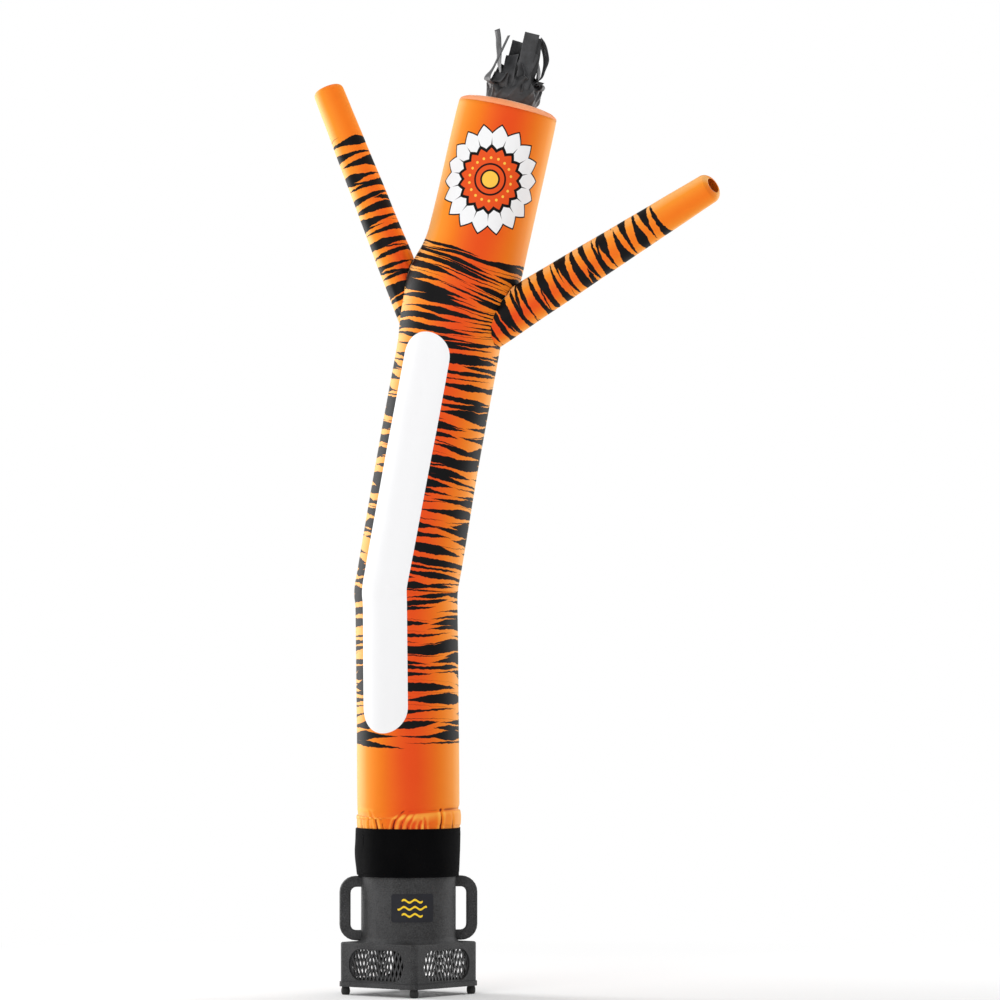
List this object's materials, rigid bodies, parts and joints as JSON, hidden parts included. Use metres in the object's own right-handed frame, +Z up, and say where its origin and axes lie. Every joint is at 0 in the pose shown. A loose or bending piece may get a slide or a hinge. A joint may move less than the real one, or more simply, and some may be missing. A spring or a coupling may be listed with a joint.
{
  "type": "inflatable air dancer on blower",
  "caption": "Tall inflatable cloth tube figure with raised arms and a ribbon tuft, strapped by a black collar to a square-based blower with a round neck and side handles.",
  "frame": {"origin": "on the floor, under the middle of the whole object's box", "axes": "+Z up; +X towards the raised right-hand arm of the front view; -Y towards the front"},
  "size_m": [1.2696, 0.4936, 3.0376],
  "materials": {
    "nylon_cloth": "coated woven nylon, soft satin",
    "ribbon_cloth": "satin woven nylon strips",
    "collar_tape": "matt hook-and-loop tape",
    "moulded_plastic": "pebbled moulding",
    "label_film": "gloss",
    "coated_steel": "satin powder coat",
    "foot_rubber": "matt"
  },
  "bodies": {
    "root": {"body_lower": "nylon_cloth", "body_upper": "nylon_cloth", "body_shoulders": "nylon_cloth", "body_head": "nylon_cloth", "arm_left_front": "nylon_cloth", "arm_left_back": "nylon_cloth", "arm_right_front": "nylon_cloth", "arm_right_back": "nylon_cloth", "head_cap": "nylon_cloth", "hair_tuft": "ribbon_cloth", "collar": "collar_tape", "collar_flap": "collar_tape", "hook_band": "collar_tape", "blower_housing": "moulded_plastic", "base_frame": "moulded_plastic", "handle_left": "moulded_plastic", "handle_right": "moulded_plastic", "label_plate": "label_film", "grille_1": "coated_steel", "grille_2": "coated_steel", "grille_3": "coated_steel", "grille_4": "coated_steel", "foot_1": "foot_rubber", "foot_2": "foot_rubber", "foot_3": "foot_rubber", "foot_4": "foot_rubber"}
  },
  "joints": []
}
